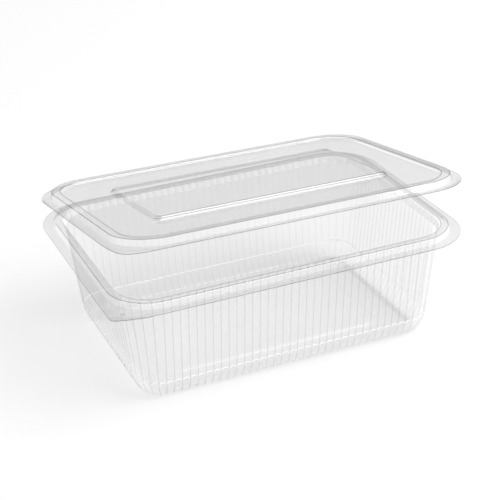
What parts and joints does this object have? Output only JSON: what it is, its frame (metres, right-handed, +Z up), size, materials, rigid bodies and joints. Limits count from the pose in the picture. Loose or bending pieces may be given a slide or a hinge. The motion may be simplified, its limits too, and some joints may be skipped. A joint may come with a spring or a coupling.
{
  "type": "hinged takeaway food container",
  "caption": "Empty clear ribbed takeaway food container with a rectangular tub, a wide flat rim and a hinged lid standing ajar.",
  "frame": {"origin": "on the surface it stands on, under the middle of the whole object with the lid ajar", "axes": "+X along the length towards the end without the finger corner, +Y towards the hinge, +Z up"},
  "size_m": [0.2314, 0.1694, 0.1067],
  "materials": {
    "tub_plastic": "gloss",
    "lid_plastic": "gloss",
    "strip_plastic": "gloss"
  },
  "bodies": {
    "tub": {"tub": "tub_plastic"},
    "strip": {"strip_lower": "strip_plastic"},
    "lid_edge": {"strip_upper": "strip_plastic"},
    "lid": {"lid": "lid_plastic"}
  },
  "joints": [
    {"name": "strip_fold", "type": "slide", "parent": "tub", "child": "strip", "axis": [0, 0.4844, 0.8749], "range_m": [-0.01012, 0], "deforming": ["strip_lower", "strip_upper"]},
    {"name": "strip_twist", "type": "hinge", "parent": "strip", "child": "lid_edge", "pos_m": [-0.00271, 0.08118, 0.0767], "axis": [0, 0.6285, 0.7778], "range_deg": [-2.83, 0]},
    {"name": "lid_swing", "type": "hinge", "parent": "lid_edge", "child": "lid", "pos_m": [-0.00271, 0.08118, 0.0767], "axis": [-0.9988, -0.0384, 0.031], "range_deg": [-8.7, 165]}
  ],
  "couplings": [
    {"joint": "strip_twist", "follows": "strip_fold", "rad_per_m": 4.8827}
  ]
}
